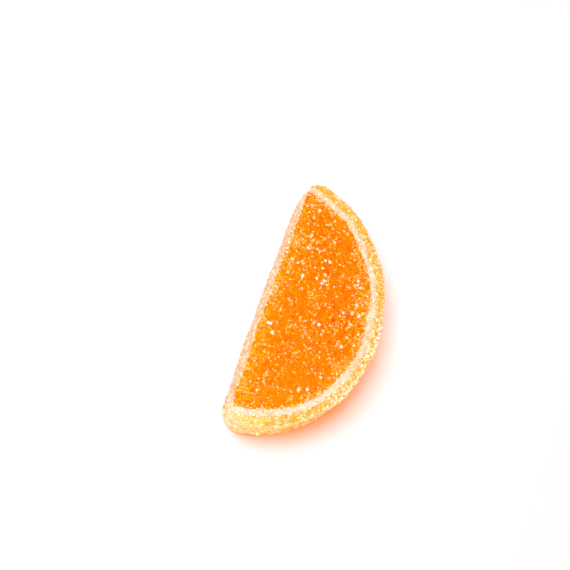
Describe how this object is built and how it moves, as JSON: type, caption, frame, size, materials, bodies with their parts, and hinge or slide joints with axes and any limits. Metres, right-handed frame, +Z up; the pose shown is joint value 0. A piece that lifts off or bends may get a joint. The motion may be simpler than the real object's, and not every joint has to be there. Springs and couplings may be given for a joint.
{
  "type": "fruit jelly candy slice",
  "caption": "Half-moon slice of clear orange fruit jelly with a thin white layer and a golden outer layer round its curved side, coated in coarse sugar and lying on one cut face",
  "frame": {"origin": "middle of the slice's box, on the cut face that it lies on", "axes": "+X from tip to tip, +Y from the straight side to the crown of the arc, +Z up through the slice's thickness"},
  "size_m": [0.0501, 0.0233, 0.0095],
  "materials": {
    "orange_jelly": "clear orange jelly, frosted with sugar",
    "white_candy": "creamy white candy, sugared",
    "golden_candy": "golden candy under coarse sugar"
  },
  "bodies": {
    "root": {"jelly_body": "orange_jelly", "white_layer": "white_candy", "golden_outer_layer": "golden_candy"}
  },
  "joints": []
}
